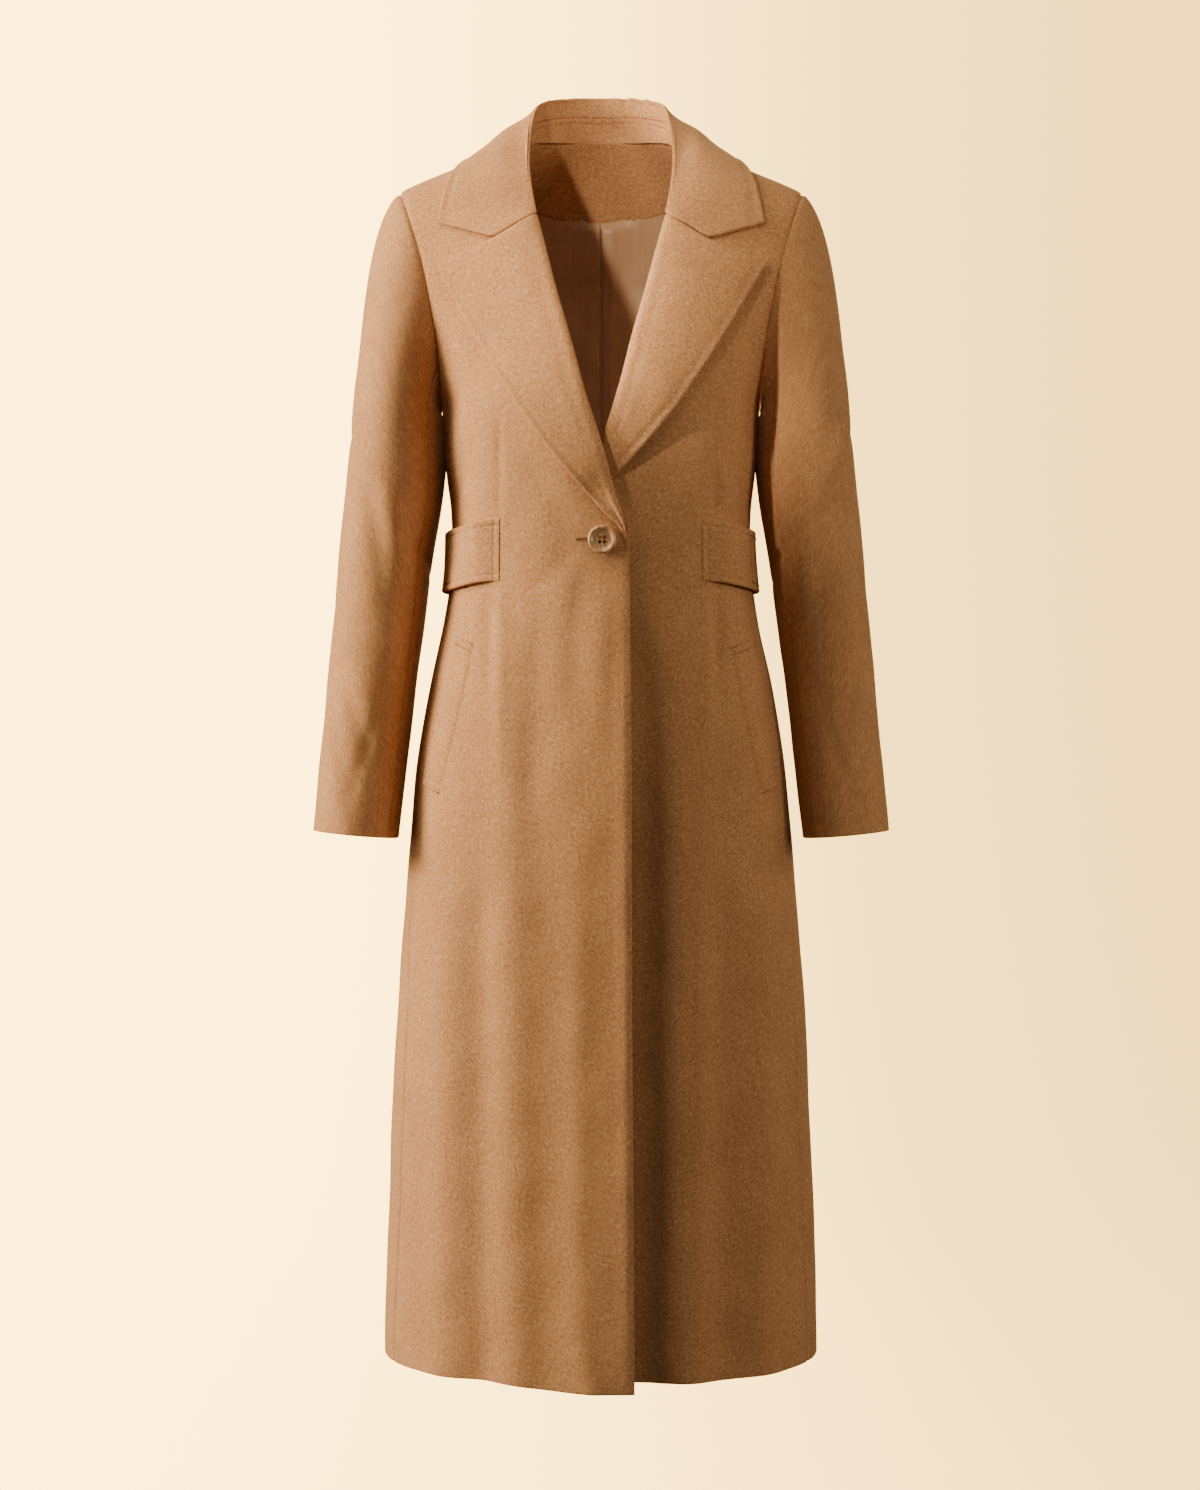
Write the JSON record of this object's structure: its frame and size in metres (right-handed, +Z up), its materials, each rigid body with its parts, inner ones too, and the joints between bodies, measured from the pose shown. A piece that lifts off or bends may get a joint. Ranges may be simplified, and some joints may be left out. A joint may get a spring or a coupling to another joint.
{
  "type": "single-breasted coat",
  "caption": "Long single-breasted wool coat, filled out and hollow, with notched lapels, a large front button, slanted welt pockets and a waist half belt.",
  "frame": {"origin": "midway between the shoulder neck points, where the wearer's shoulders carry the coat", "axes": "+Z up, -Y out of the coat's front, +X towards the wearer's left"},
  "size_m": [0.5688, 0.2956, 1.2785],
  "materials": {
    "camel_wool": "brushed woollen coating, matt with a short nap",
    "tan_satin": "satin lining, softly shiny",
    "horn": "mottled horn look, semi-gloss"
  },
  "bodies": {
    "root": {"front_right": "camel_wool", "front_left": "camel_wool", "back_right": "camel_wool", "back_left": "camel_wool", "back_skirt_right": "camel_wool", "back_skirt_left": "camel_wool", "sleeve_upper_right": "camel_wool", "sleeve_upper_left": "camel_wool", "sleeve_under_right": "camel_wool", "sleeve_under_left": "camel_wool", "collar": "camel_wool", "collar_stand": "camel_wool", "lapel_right": "camel_wool", "lapel_left": "camel_wool", "half_belt": "camel_wool", "pocket_welt_right": "camel_wool", "pocket_welt_left": "camel_wool", "back_neck_facing": "camel_wool", "back_lining": "tan_satin", "button": "horn"}
  },
  "joints": []
}
